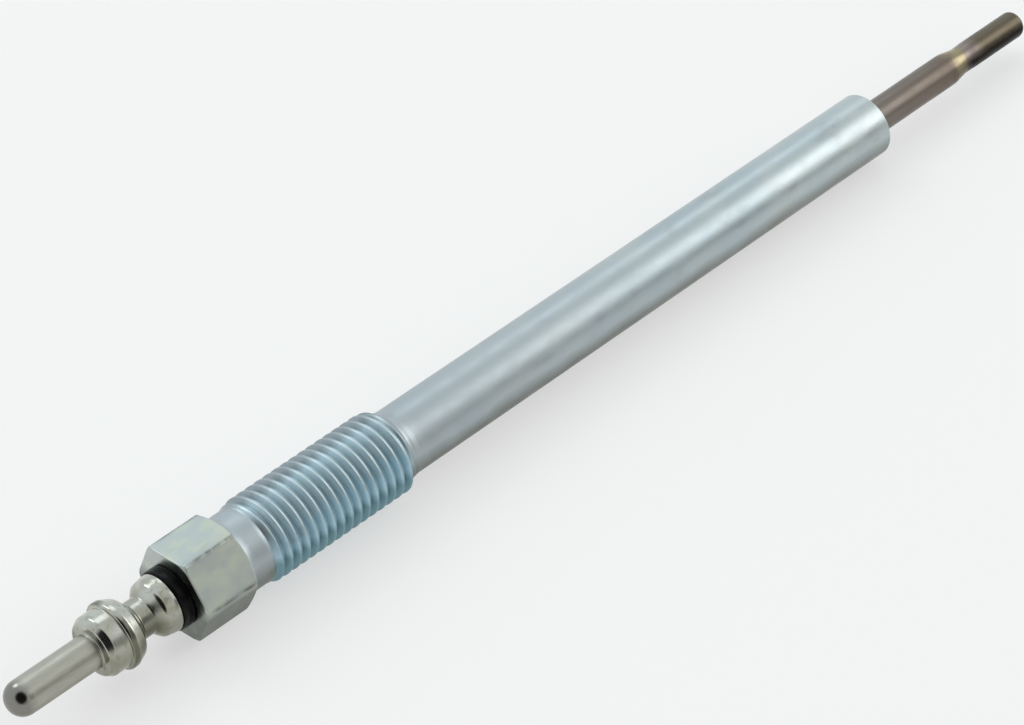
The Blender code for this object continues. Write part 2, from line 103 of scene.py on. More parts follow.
def mix_colour(tree, amount, first, second):
    """The first colour where amount is 0 and the second where it is 1."""
    mix = tree.nodes.new("ShaderNodeMix")
    mix.data_type = "RGBA"
    tree.links.new(amount, mix.inputs["Factor"])
    for socket, colour in (("A", first), ("B", second)):
        target = next(i for i in mix.inputs if i.name == socket and i.type == "RGBA")
        if isinstance(colour, tuple):
            target.default_value = (*colour, 1.0)
        else:
            tree.links.new(colour, target)
    return next(o for o in mix.outputs if o.type == "RGBA")


def calculate(tree, operation, first, second):
    """One arithmetic step on values or plain numbers."""
    step = tree.nodes.new("ShaderNodeMath")
    step.operation = operation
    for socket, value in zip(step.inputs, (first, second)):
        if isinstance(value, (int, float)):
            socket.default_value = value
        else:
            tree.links.new(value, socket)
    return step.outputs["Value"]


def add_bump(tree, shader, height, distance):
    """Bump from a height pattern, distance metres deep from black to white."""
    bump = tree.nodes.new("ShaderNodeBump")
    bump.inputs["Distance"].default_value = distance
    tree.links.new(height, bump.inputs["Height"])
    previous = shader.inputs["Normal"].links
    if previous:
        tree.links.new(previous[0].from_socket, bump.inputs["Normal"])
    tree.links.new(bump.outputs["Normal"], shader.inputs["Normal"])


def dress(node, material):
    """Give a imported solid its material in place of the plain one."""
    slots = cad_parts[node].material_slots
    slots[0].material = material


def resistance_wire(name, tint):
    """Drawn wire, mottled from grey to heat-brown along its length."""
    material, tree, shader = start_material(name, metallic=1.0)
    patches = add_noise(tree, WIRE_PATCH)
    colour = mix_colour(tree, remap(tree, patches, *SOFT), WIRE_GREY, tint)
    tree.links.new(colour, shader.inputs["Base Color"])
    tree.links.new(remap(tree, patches, *WIDE, *WIRE_ROUGHNESS), shader.inputs["Roughness"])
    add_bump(tree, shader, add_noise(tree, WIRE_LINE, WIRE_LINE_STRETCH), WIRE_DEPTH)
    return material


dress("heating_coil", resistance_wire("heating wire", HEATING_BROWN))
dress("regulating_coil", resistance_wire("regulating wire", REGULATING_BROWN))


# Magnesia filling
# White magnesium oxide powder, poured around the coils and packed hard when the sheath is swaged.
# It has a chalky, finely grained surface with grey flecks.
POWDER_WHITE = (0.83, 0.81, 0.76)
POWDER_FLECK = (0.58, 0.56, 0.52)
POWDER_GRAIN = 0.12 * MM
POWDER_DEPTH = 0.02 * MM
POWDER_ROUGHNESS = 0.95
FLECKS = (0.55, 0.75)

powder, tree, shader = start_material("magnesia powder")
shader.inputs["Roughness"].default_value = POWDER_ROUGHNESS
grain = add_noise(tree, POWDER_GRAIN, detail=5.0)
tree.links.new(mix_colour(tree, remap(tree, grain, *FLECKS), POWDER_WHITE, POWDER_FLECK),
               shader.inputs["Base Color"])
add_bump(tree, shader, grain, POWDER_DEPTH)
dress("magnesia_filling", powder)


# Sheath seal and O-ring
# The seal is a red silicone plug in the sheath's mouth, and the O-ring a black nitrile ring behind
# the washer. Both are moulded rubber with a faint bloom.
SEAL_RED = (0.30, 0.055, 0.03)
RING_BLACK = (0.018, 0.018, 0.02)
RUBBER_BLOOM = (0.16, 0.14, 0.13)
BLOOM_PATCH = 0.9 * MM
BLOOM_LIMITS = (0.5, 0.8)
BLOOM_STRENGTH = 0.3
RUBBER_ROUGHNESS = (0.5, 0.75)
RUBBER_GRAIN = 0.06 * MM
RUBBER_DEPTH = 0.004 * MM


def moulded_rubber(name, colour):
    """Matt rubber with a pale bloom in patches and a fine moulded grain."""
    material, tree, shader = start_material(name)
    bloom = remap(tree, add_noise(tree, BLOOM_PATCH), *BLOOM_LIMITS, 0.0, BLOOM_STRENGTH)
    tree.links.new(mix_colour(tree, bloom, colour, RUBBER_BLOOM), shader.inputs["Base Color"])
    tree.links.new(remap(tree, bloom, 0.0, BLOOM_STRENGTH, *RUBBER_ROUGHNESS),
                   shader.inputs["Roughness"])
    add_bump(tree, shader, add_noise(tree, RUBBER_GRAIN), RUBBER_DEPTH)
    return material


dress("sheath_seal", moulded_rubber("seal rubber", SEAL_RED))
dress("o_ring", moulded_rubber("o-ring rubber", RING_BLACK))


# Connecting rod
# A drawn steel rod that carries the current from the terminal to the coils. Drawing leaves fine
# lines along it, and it has a thin film of oil.
ROD_GREY = (0.42, 0.42, 0.41)
ROD_DARK = (0.27, 0.26, 0.25)
ROD_ROUGHNESS = (0.28, 0.45)
ROD_LINE = 0.15 * MM
ROD_LINE_STRETCH = (60, 1, 1)
ROD_LINE_LIMITS = (0.35, 0.7)
ROD_LINE_DEPTH = 0.006 * MM

drawn_steel, tree, shader = start_material("drawn steel", metallic=1.0)
lines = add_noise(tree, ROD_LINE, ROD_LINE_STRETCH)
tree.links.new(mix_colour(tree, remap(tree, lines, *ROD_LINE_LIMITS), ROD_GREY, ROD_DARK),
               shader.inputs["Base Color"])
tree.links.new(remap(tree, lines, *WIDE, *ROD_ROUGHNESS), shader.inputs["Roughness"])
add_bump(tree, shader, lines, ROD_LINE_DEPTH)
dress("connecting_rod", drawn_steel)


# Heater sheath
# A thin tube of heat-resistant nickel alloy, closed at its tip. Swaging packs the powder and draws
# the tip thinner; heat tests have tinted it brown, with gold at the taper and olive at the tip.
# Toward the tip its underside is painted near black, which is painted shade.
SHEATH_SPOKES = 128
SHEATH_TIP_RADIUS = 1.73 * MM
SHEATH_TIP_LENGTH = 10.2 * MM
SWAGE_LENGTH = 3.2 * MM
SWAGE_WAIST_LENGTH = 1.0 * MM
SWAGE_WAIST_DEPTH = 0.04 * MM
SHEATH_WALL = 0.5 * MM
EDGE_SUPPORT = 0.05 * MM
SHEATH_END_WALL = 0.8 * MM
BORE_END_ROUND = 0.2 * MM
BORE_SWAGE_ROUND = 1.0 * MM
MOUTH_ROUND = 0.1 * MM
SWAGE_ROUND = 2.0 * MM
WAIST_ROUND = 1.5 * MM
SHEATH_TIP_ROUND = 0.8 * MM
SHEATH_GREY = (0.20, 0.175, 0.155)
SHEATH_BROWN = (0.175, 0.14, 0.115)
SHEATH_GOLD = (0.33, 0.275, 0.165)
SHEATH_PURPLE = (0.24, 0.20, 0.19)
SHEATH_OLIVE = (0.135, 0.112, 0.08)
SHEATH_TIP_UNDERSHADE = (0.012, 0.009, 0.006)
SHEATH_ROUGHNESS = (0.26, 0.42)
SWAGE_SHEEN = 0.1
SMOKE_PATCH = 2.2 * MM
SMOKE_STRETCH = (1.6, 1, 1)
RAGGED_BY = 0.5 * MM
GOLD_STARTS = -0.6 * MM
GOLD_ENDS = 0.9 * MM
PURPLE_STARTS = 1.6 * MM
OLIVE_LENGTH = 2.5 * MM
TIP_UNDERSHADE_LEAD = 1.5 * MM
TIP_UNDERSHADE_WAVE = 0.8 * MM
TIP_UNDERSHADE_LIMITS = (0.95 * MM, 1.75 * MM)
STREAK_WIDTH = 0.35 * MM
STREAK_STRETCH = (26, 1, 1)
STREAK_LIMITS = (0.5, 0.8)
STREAK_STRENGTH = 0.35
STREAK_DEPTH = 0.006 * MM
SHEATH_GRAIN = 0.12 * MM
SHEATH_GRAIN_DEPTH = 0.003 * MM


def object_axes(tree):
    """The X, Y and Z of each point in object space."""
    place = tree.nodes.new("ShaderNodeTexCoord")
    split = tree.nodes.new("ShaderNodeSeparateXYZ")
    tree.links.new(place.outputs["Object"], split.inputs["Vector"])
    return [split.outputs[axis] for axis in "XYZ"]


def unit(vectors):
    """Vectors along the last axis, scaled to length 1."""
    return vectors / np.linalg.norm(vectors, axis=-1, keepdims=True)


def rounded(corners, steps=7, supported=True):
    """Outline through (x, radius, round) corners, with each inner corner turned into an arc.

    Between directions a and b to its neighbours, which are 2h apart, an arc of radius q starts
    q / tan(h) along a and ends as far along b. Its centre lies q / sin(h) along their bisector,
    and its points turn evenly from the first spoke to the last. Where it is supported, one more
    point on each straight, a quarter of q or EDGE_SUPPORT off, keeps the straight's shading flat.
    """
    corners = np.array(corners, float)
    radii = corners[1:-1, 2:]
    corners = corners[:, :2]
    here = corners[1:-1]
    back = unit(corners[:-2] - here)
    ahead = unit(corners[2:] - here)
    half = 0.5 * np.arccos(np.clip(np.sum(back * ahead, axis=1), -1, 1))[:, None]
    reach = radii / np.tan(half)
    centre = here + unit(back + ahead) * radii / np.sin(half)
    first = (here + back * reach - centre)[:, None]
    last = (here + ahead * reach - centre)[:, None]
    sweep = (np.pi - 2 * half)[:, None]
    share = np.linspace(0, 1, steps)[None, :, None]
    arcs = centre[:, None] + (first * np.sin((1 - share) * sweep)
                              + last * np.sin(share * sweep)) / np.sin(sweep)
    if supported:
        support = np.minimum(radii / 4, EDGE_SUPPORT)
        before = (here + back * (reach + support))[:, None]
        after = (here + ahead * (reach + support))[:, None]
        arcs = np.concatenate([before, arcs, after], axis=1)
    return np.concatenate([corners[:1], arcs.reshape(-1, 2), corners[-1:]])


def grid_faces(rings, spokes):
    """Quads between neighbouring rings of spokes points, with each ring closed on itself."""
    ring = np.arange(rings - 1)[:, None] * spokes
    here = np.arange(spokes)[None, :]
    beside = (here + 1) % spokes
    return np.stack([ring + here, ring + beside, ring + spokes + beside, ring + spokes + here],
                    axis=-1).reshape(-1, 4)


def show_mesh(name, points, faces, material, marks=None):
    """A smooth-shaded object at the origin; marks are values kept on its points."""
    mesh = bpy.data.meshes.new(name)
    mesh.from_pydata(points.reshape(-1, 3).tolist(), [], faces)
    mesh.validate()
    mesh.shade_smooth()
    for mark, values in (marks or {}).items():
        attribute = mesh.attributes.new(mark, "FLOAT", "POINT")
        attribute.data.foreach_set("value", values.ravel().astype(np.float32))
    mesh.materials.append(material)
    obj = bpy.data.objects.new(name, mesh)
    bpy.context.scene.collection.objects.link(obj)
    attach(obj, "root")
    return obj


def turned(name, outline, spokes, material):
    """Surface of revolution about X: point (i, j) is (x_i, r_i cos a_j, r_i sin a_j).

    An outline that starts and ends on the axis gets one point and a fan at each pole. Any other
    outline is closed by joining its last ring to its first.
    """
    angles = np.arange(spokes) * 2 * np.pi / spokes
    poled = outline[0, 1] == 0
    rings = outline[1:-1] if poled else outline
    points = np.stack([np.broadcast_to(rings[:, :1], (len(rings), spokes)),
                       rings[:, 1:] * np.cos(angles), rings[:, 1:] * np.sin(angles)], axis=-1)
    faces = grid_faces(len(rings), spokes)
    here = np.arange(spokes)
    beside = (here + 1) % spokes
    end = (len(rings) - 1) * spokes
    if not poled:
        closing = np.stack([end + here, end + beside, beside, here], axis=-1)
        return show_mesh(name, points, np.concatenate([faces, closing]).tolist(), material)
    poles = np.array([[outline[0, 0], 0, 0], [outline[-1, 0], 0, 0]])
    first, last = points.size // 3, points.size // 3 + 1
    fans = np.concatenate([np.stack([np.full(spokes, first), beside, here], axis=-1),
                           np.stack([np.full(spokes, last), end + here, end + beside], axis=-1)])
    points = np.concatenate([points.reshape(-1, 3), poles])
    return show_mesh(name, points, faces.tolist() + fans.tolist(), material)


sheath_low, sheath_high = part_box("heater_sheath")
sheath_radius = sheath_high.z
x_tip_part = sheath_high.x - SHEATH_TIP_LENGTH
x_swage = x_tip_part - SWAGE_LENGTH
sheath_bore = sheath_radius - SHEATH_WALL
tip_bore = SHEATH_TIP_RADIUS - SHEATH_WALL
swage_waist = SHEATH_TIP_RADIUS - SWAGE_WAIST_DEPTH
sheath_outline = rounded(
    [(sheath_high.x - SHEATH_END_WALL, 0, 0),
     (sheath_high.x - SHEATH_END_WALL, tip_bore, BORE_END_ROUND),
     (x_tip_part, tip_bore, BORE_SWAGE_ROUND),
     (x_swage, sheath_bore, BORE_SWAGE_ROUND),
     (sheath_low.x, sheath_bore, MOUTH_ROUND),
     (sheath_low.x, sheath_radius, MOUTH_ROUND),
     (x_swage, sheath_radius, SWAGE_ROUND),
     (x_tip_part - SWAGE_WAIST_LENGTH, swage_waist, WAIST_ROUND),
     (x_tip_part, swage_waist, WAIST_ROUND),
     (x_tip_part + SWAGE_WAIST_LENGTH, SHEATH_TIP_RADIUS, SWAGE_ROUND),
     (sheath_high.x, SHEATH_TIP_RADIUS, SHEATH_TIP_ROUND),
     (sheath_high.x, 0, 0)], steps=10)

tinted_alloy, tree, shader = start_material("heat-tinted alloy", metallic=1.0)
along, across, up = object_axes(tree)
smoke = add_noise(tree, SMOKE_PATCH, SMOKE_STRETCH)
ragged = calculate(tree, "ADD", along, remap(tree, smoke, *WIDE, -RAGGED_BY, RAGGED_BY))
x_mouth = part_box("body_shell")[1].x
browning = remap(tree, ragged, x_mouth, x_swage)
golden = remap(tree, ragged, x_swage + GOLD_STARTS, x_swage + GOLD_ENDS)
purple = remap(tree, ragged, x_swage + PURPLE_STARTS, x_tip_part)
olive = remap(tree, ragged, x_tip_part, x_tip_part + OLIVE_LENGTH)
colour = mix_colour(tree, browning, SHEATH_GREY, SHEATH_BROWN)
colour = mix_colour(tree, golden, colour, SHEATH_GOLD)
colour = mix_colour(tree, purple, colour, SHEATH_PURPLE)
colour = mix_colour(tree, olive, colour, SHEATH_OLIVE)
streaks = add_noise(tree, STREAK_WIDTH, STREAK_STRETCH)
streaky = remap(tree, streaks, *STREAK_LIMITS, 0.0, STREAK_STRENGTH)
colour = mix_colour(tree, streaky, colour, SHEATH_OLIVE)
# Painted shade: near black on the underside, from just before the swage to the tip
low_side = calculate(tree, "ADD", up, calculate(tree, "MULTIPLY", smoke, TIP_UNDERSHADE_WAVE))
low_side = remap(tree, low_side, *TIP_UNDERSHADE_LIMITS, 1.0, 0.0)
tip_underside_painted_shade = calculate(tree, "MULTIPLY", low_side,
                   remap(tree, ragged, x_swage - TIP_UNDERSHADE_LEAD, x_tip_part))
colour = mix_colour(tree, tip_underside_painted_shade, colour, SHEATH_TIP_UNDERSHADE)
tree.links.new(colour, shader.inputs["Base Color"])
drawn_smooth = calculate(tree, "SUBTRACT", golden, purple)
roughness = calculate(tree, "SUBTRACT", remap(tree, smoke, *WIDE, *SHEATH_ROUGHNESS),
                      calculate(tree, "MULTIPLY", drawn_smooth, SWAGE_SHEEN))
tree.links.new(roughness, shader.inputs["Roughness"])
add_bump(tree, shader, streaks, STREAK_DEPTH)
add_bump(tree, shader, add_noise(tree, SHEATH_GRAIN), SHEATH_GRAIN_DEPTH)

heater_sheath = turned("swaged_sheath", sheath_outline, SHEATH_SPOKES, tinted_alloy)
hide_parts("heater_sheath")


# Steel body
# One steel turning: counterbored hexagon for a 10 mm spanner, neck, rolled M10 x 1.25 thread with a
# chamfered end, and a long centreless-ground shank. The zinc plating is passivated blue, rubbed dark
# on the hexagon's corners and dull on the first part of the shank. Painted shade darkens its
# underside and the thread's roots, and the thread's teal is painted paler on top and darker below
# and behind.
HEX_LENGTH = 7.2 * MM
HEX_ACROSS_FLATS = 10.0 * MM
HEX_CORNER_ROUND = 0.475 * MM
HEX_FACE_RADIUS = 5.375 * MM
HEX_BACK_RADIUS = 4.95 * MM
HEX_CHAMFER = np.radians(30)
HEX_TURN = np.radians(21)
HEX_EDGE = 0.12 * MM
HEX_BLEND = 0.10 * MM
RUBBED_WIDTH = np.radians(2.5)
HEX_FRONT_CUT = 0.35 * MM
HEX_BACK_CUT = 0.6 * MM
EDGE_STEPS = 6
FRONT_CUT_STEPS = 10
BACK_CUT_STEPS = 16
FILLET_STEPS = 9

# How far across the front and back faces their rings lie
FACE_SHARES = (0, 0.03, 0.5, 0.96)
BACK_SHARES = (0.05, 0.5, 0.97)

SECTOR_SPOKES = 30
CORNER_CROWDING = 0.35
NECK_RADIUS = 4.55 * MM
NECK_LENGTH = 2.7 * MM
NECK_FILLET_LENGTH = 0.95 * MM
NECK_FILLET_HEIGHT = 0.2 * MM
THREAD_PITCH = 1.25 * MM
THREAD_RADIUS = 5.0 * MM
THREAD_LENGTH = 20.25 * MM
THREAD_RUN_OUT = 1.4 * MM
THREAD_DEPTH = 0.65 * MM
ROOT_FLAT = 0.22 * MM
CREST_FLAT = 0.32 * MM
CREST_ROUND = 0.15 * MM
ROOT_ROUND = 0.16 * MM

# The cone and small steps at the thread's end: millimetres past it, and radius in millimetres
THREAD_END = [(0.0, 5.0), (0.84, 4.18), (1.2, 4.12), (1.5, 4.11), (1.62, 4.07), (2.15, 4.0)]

SHANK_RADIUS = 4.0 * MM
RIM_ROUND = 0.12 * MM
COUNTERBORE_RADIUS = 3.0 * MM
COUNTERBORE_DEPTH = 3.66 * MM
MAIN_BORE_RADIUS = 2.5 * MM
PRESS_FIT = 0.06 * MM
MOUTH_CHAMFER = 0.1 * MM

body_low, body_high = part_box("body_shell")
x_hex_back = body_low.x + HEX_LENGTH
x_run = x_hex_back + NECK_LENGTH
x_thread_end = x_run + THREAD_LENGTH

# Spokes round the body lie closer together at the hexagon's corners
half_sector = np.arange(SECTOR_SPOKES) * 2 / SECTOR_SPOKES - 1
off_corner = np.pi / 6 * (CORNER_CROWDING * half_sector
                          + (1 - CORNER_CROWDING) * half_sector ** 3)
corner_angles = np.pi / 2 + HEX_TURN + np.arange(6) * np.pi / 3
body_angles = (corner_angles[:, None] + off_corner).ravel()
body_spokes = len(body_angles)
off_corner = np.tile(off_corner, 6)


def rings(x, radius):
    """Rings of (x, radius) pairs, one for each x, with a radius at every spoke."""
    x = np.atleast_1d(x).astype(float)
    radius = np.array(radius, float)
    radius = radius[:, None] if radius.ndim == 1 and len(radius) == len(x) else radius
    shape = (len(x), body_spokes)
    return np.stack([np.broadcast_to(x[:, None], shape), np.broadcast_to(radius, shape)], axis=-1)


def blend_min(first, second, width):
    """The smaller of two values, with the crease between them rounded off.

    Where they differ by less than width, (width - difference) squared over 4 width comes off.
    """
    near = np.maximum(width - np.abs(first - second), 0)
    return np.minimum(first, second) - near ** 2 / (4 * width)


def hexagon_radius():
    """Distance from the axis to the rounded hexagon at every spoke.

    A flat is half the width across flats over cos(30 degrees - angle off the corner). Near the
    corner it gives way to a circle of the corner's round, tangent to both flats.
    """
    half = HEX_ACROSS_FLATS / 2
    centre = (half - HEX_CORNER_ROUND) / np.cos(np.pi / 6)
    away = np.abs(off_corner)
    flat = half / np.cos(np.pi / 6 - away)
    inside = np.maximum(HEX_CORNER_ROUND ** 2 - (centre * np.sin(away)) ** 2, 0)
    circle = centre * np.cos(away) + np.sqrt(inside)
    touch = np.arctan2(HEX_CORNER_ROUND / 2, centre + HEX_CORNER_ROUND * np.cos(np.pi / 6))
    return np.where(away < touch, circle, flat)


def edge_loss(distance):
    """How far a quarter-round edge lies inside the full radius, at a distance from the end."""
    short = HEX_EDGE - np.clip(distance, 0, HEX_EDGE)
    return HEX_EDGE - np.sqrt(HEX_EDGE ** 2 - short ** 2)


def hexagon_head():
    """The hexagon as rings: front face, chamfered flats, back face and the fillet to the neck.

    Along the flats the radius is the least of the hexagon, the front cone and the back cone,
    blended at their creases, less the quarter-round of each end.
    """
    slope = np.tan(HEX_CHAMFER)
    quarter = HEX_EDGE * (1 - np.cos(np.linspace(0, np.pi / 2, EDGE_STEPS)))
    front_cut = np.linspace(HEX_EDGE, HEX_FRONT_CUT, FRONT_CUT_STEPS)[1:]
    flats = np.linspace(HEX_FRONT_CUT, HEX_LENGTH - HEX_BACK_CUT, EDGE_STEPS)[1:]
    back_cut = np.linspace(HEX_LENGTH - HEX_BACK_CUT, HEX_LENGTH - HEX_EDGE, BACK_CUT_STEPS)[1:]
    along = np.concatenate([quarter, front_cut, flats, back_cut, (HEX_LENGTH - quarter[::-1])[1:]])
    front_cone = HEX_FACE_RADIUS + along / slope
    back_cone = HEX_BACK_RADIUS + (HEX_LENGTH - along) / slope
    cones = blend_min(front_cone, back_cone, HEX_BLEND)[:, None]
    radius = blend_min(cones, hexagon_radius(), HEX_BLEND)
    radius = radius - edge_loss(along)[:, None] - edge_loss(HEX_LENGTH - along)[:, None]
    inner = COUNTERBORE_RADIUS + MOUTH_CHAMFER
    share = np.array(FACE_SHARES)[:, None]
    face = rings(np.full(len(share), body_low.x), inner + (radius[0] - inner) * share)
    side = rings(body_low.x + along, radius)
    foot = NECK_RADIUS + NECK_FILLET_HEIGHT
    share = np.array(BACK_SHARES)[:, None]
    back = rings(np.full(len(share), x_hex_back), radius[-1] + (foot - radius[-1]) * share)
    turn = np.linspace(0, np.pi / 2, FILLET_STEPS)
    fillet = rings(x_hex_back + NECK_FILLET_LENGTH * (1 - np.cos(turn)),
                   foot - NECK_FILLET_HEIGHT * np.sin(turn))
    return np.concatenate([face, side, back, fillet])


def thread_profile():
    """One pitch of the thread: how far along it each point lies, and its height from 0 to 1."""
    flank = (THREAD_PITCH - ROOT_FLAT - CREST_FLAT) / 2
    pitch = rounded([(-flank, THREAD_DEPTH, 0),
                     (0, 0, ROOT_ROUND),
                     (ROOT_FLAT, 0, ROOT_ROUND),
                     (ROOT_FLAT + flank, THREAD_DEPTH, CREST_ROUND),
                     (ROOT_FLAT + flank + CREST_FLAT, THREAD_DEPTH, CREST_ROUND),
                     (THREAD_PITCH, 0, 0)], steps=4, supported=False)[1:-1]
    return pitch[:, 0], pitch[:, 1] / THREAD_DEPTH


def threaded_rings():
    """Rings that follow the right-hand helix: ring c at angle a lies a / 360 of a pitch further.

    The radius runs from root to crest with the profile's height. Both rise out of the neck over
    the run-out, and the cone and the small steps at the thread's end cut it down to the shank.
    """
    offsets, heights = thread_profile()
    x_start = x_run - THREAD_PITCH
    turns = int(np.ceil((THREAD_LENGTH + THREAD_END[-1][0] * MM) / THREAD_PITCH)) + 1
    along = (np.arange(turns)[:, None] * THREAD_PITCH + offsets).ravel()
    height = np.tile(heights, turns)[:, None]
    share = (body_angles - body_angles[0]) / (2 * np.pi)
    x = x_start + along[:, None] + share * THREAD_PITCH
    run = [x_run, x_run + THREAD_RUN_OUT]
    high = np.interp(x, run, [NECK_RADIUS, THREAD_RADIUS])
    low = np.interp(x, run, [NECK_RADIUS, THREAD_RADIUS - THREAD_DEPTH])
    end_x, end_radius = (np.array(THREAD_END) * MM).T
    cut = np.interp(x, x_thread_end + end_x, end_radius)
    return np.stack([x, np.minimum(low + height * (high - low), cut)], axis=-1), len(offsets)


def body_mesh():
    """Points, faces and marks of the whole body, closed through its bore.

    Rings and the helical grid share one layout, so quads join all neighbours. At the last spoke
    the helix meets the first spoke one turn on, and one polygon fills the wedge at each end.
    """
    head = hexagon_head()
    thread, per_turn = threaded_rings()
    x_shank = thread[..., 0].max() + THREAD_PITCH / 8
    sheath_hole = sheath_radius + PRESS_FIT
    x_bore = sheath_low.x
    shank = rounded(
        [(x_shank, SHANK_RADIUS, 0),
         (body_high.x, SHANK_RADIUS, RIM_ROUND),
         (body_high.x, sheath_hole, MOUTH_CHAMFER),
         (x_bore, sheath_hole, MOUTH_CHAMFER),
         (x_bore - (MAIN_BORE_RADIUS - sheath_hole), MAIN_BORE_RADIUS, MOUTH_CHAMFER),
         (body_low.x + COUNTERBORE_DEPTH, MAIN_BORE_RADIUS, MOUTH_CHAMFER),
         (body_low.x + COUNTERBORE_DEPTH, COUNTERBORE_RADIUS, MOUTH_CHAMFER),
         (body_low.x + MOUTH_CHAMFER, COUNTERBORE_RADIUS, 0)])
    shank = rings(shank[:, 0], shank[:, 1])
    rows = np.concatenate([head, thread, shank])
    x, radius = rows[..., 0], rows[..., 1]
    points = np.stack([x, radius * np.cos(body_angles), radius * np.sin(body_angles)], axis=-1)

    count = len(rows)
    index = np.arange(count * body_spokes).reshape(count, body_spokes)
    here, there = index[:, :-1], index[:, 1:]
    faces = np.stack([here[:-1], there[:-1], there[1:], here[1:]], axis=-1).reshape(-1, 4)
    last, first = index[:, -1], index[:, 0]
    start, end = len(head), len(head) + len(thread)
    seam = [np.stack([last[a:b - 1], first[a + skip:b - 1 + skip], first[a + skip + 1:b + skip],
                      last[a + 1:b]], axis=-1)
            for a, b, skip in ((0, start, 0), (start, end - per_turn, per_turn), (end, count, 0))]
    closing = np.stack([index[-1], np.roll(index[-1], -1), np.roll(index[0], -1), index[0]], axis=-1)
    wedges = [[last[start - 1], first[start - 1], *first[start:start + per_turn + 1], last[start]],
              [last[end - 1 - per_turn], first[end - 1], first[end], last[end],
               *last[end - 1:end - 1 - per_turn:-1]]]
    faces = np.concatenate([faces, *seam, closing]).tolist()
    faces += [[int(corner) for corner in wedge] for wedge in wedges]

    row = np.arange(count)[:, None]
    on_thread = (x > x_run) & (x < x_thread_end) & (row >= start) & (row < end)
    groove = np.where(on_thread, (THREAD_RADIUS - radius) / THREAD_DEPTH, 0)
    on_flats = (x > body_low.x + HEX_FRONT_CUT) & (x < x_hex_back - HEX_EDGE)
    rim = np.exp(-(off_corner / RUBBED_WIDTH) ** 2)
    edge = np.where(on_flats, rim, 0)
    return points, faces, {"groove": np.clip(groove, 0, 1), "edge": edge}


def between(tree, value, rising, falling):
    """1 between two pairs of limits: it rises over the first pair and falls over the second."""
    return calculate(tree, "MULTIPLY", remap(tree, value, *rising),
                     remap(tree, value, *falling, 1.0, 0.0))


def read_mark(tree, name):
    """A value kept on the mesh's points."""
    attribute = tree.nodes.new("ShaderNodeAttribute")
    attribute.attribute_name = name
    return attribute.outputs["Fac"]


ZINC_LIGHT = (0.50, 0.545, 0.55)
ZINC_BLUE = (0.42, 0.49, 0.515)
ZINC_SAGE = (0.50, 0.545, 0.47)
ZINC_CREAM = (0.53, 0.54, 0.46)
ZINC_LAVENDER = (0.40, 0.44, 0.465)
ZINC_SMUDGE = (0.33, 0.36, 0.37)
ZINC_TEAL = (0.50, 0.62, 0.67)
ZINC_DEEP_TEAL = (0.42, 0.60, 0.69)
ZINC_TEAL_SHADE = (0.21, 0.36, 0.41)
ZINC_ROOT_SHADE = (0.17, 0.21, 0.22)
ZINC_WORN = (0.62, 0.64, 0.62)
ZINC_RUBBED = (0.14, 0.15, 0.15)
ZINC_UNDERSIDE_SHADE = (0.17, 0.185, 0.16)
ZINC_BACK_SHADE = (0.34, 0.40, 0.43)

# Patches in the plating: their size, their stretch and the limits that they blend between
FIRM = (0.4, 0.6)
CLOUD_SIZE = 5.0 * MM
CLOUD_STRETCH = (1.8, 1, 1)
BLOTCH_SIZE = 1.6 * MM
BLOTCH_STRETCH = (1.5, 1, 1)
SAGE_STRENGTH = (0.3, 0.9)
CREAM_LIMITS = (0.5, 0.65)
CREAM_STRENGTH = 0.5
SMUDGE_SIZE = 2.4 * MM
SMUDGE_STRETCH = (2.2, 1, 1)
SMUDGE_LIMITS = (0.58, 0.72)
SMUDGE_STRENGTH = 0.45
RUBBED_PATCH = 0.9 * MM
RUBBED_STRENGTH = (0.3, 0.95)
# Painted shade in the thread's roots, and wear on its crests
ROOT_SHADE_LIMITS = (0.75, 1.0)
ROOT_SHADE_STRENGTH = 0.25
CREST_LIMITS = (0.0, 0.12)
CREST_STRENGTH = 0.08

# Zones along the body, measured from their start
HEX_FADE = 0.2 * MM
THREAD_FADE_IN = 0.8 * MM
THREAD_FADE_OUT = 0.6 * MM
DULL_LENGTH = 65.0 * MM
DULL_STRENGTH = 0.8

# Heights above the axis, and one depth behind it, between which the painted shade, the thread's
# painted light and its roughness change
UNEVEN = 0.4 * MM
SHANK_RISE = 0.6 * MM
SHANK_RISE_LENGTH = 2.0 * MM
UNDERSIDE_SHADE_LIMITS = (-0.6 * MM, 1.4 * MM)
UNDERSIDE_SHADE_STRENGTH = 0.9
TEAL_LIMITS = (2.4 * MM, 3.8 * MM)
TEAL_SHADE_LIMITS = (-0.2 * MM, 1.0 * MM)
BACK_SHADE_LIMITS = (0.3 * MM, 1.6 * MM)
TOP_LIMITS = (4.2 * MM, 4.8 * MM)

ZINC_ROUGHNESS = (0.26, 0.36)
DULL_ROUGHNESS = 0.16
THREAD_ROUGHNESS = 0.08
FACE_SHEEN = 0.18
GROUND_LINE = 0.16 * MM
GROUND_STRETCH = (40, 1, 1)
GROUND_DEPTH = 0.004 * MM
ZINC_GRAIN = 0.25 * MM
ZINC_GRAIN_DEPTH = 0.006 * MM

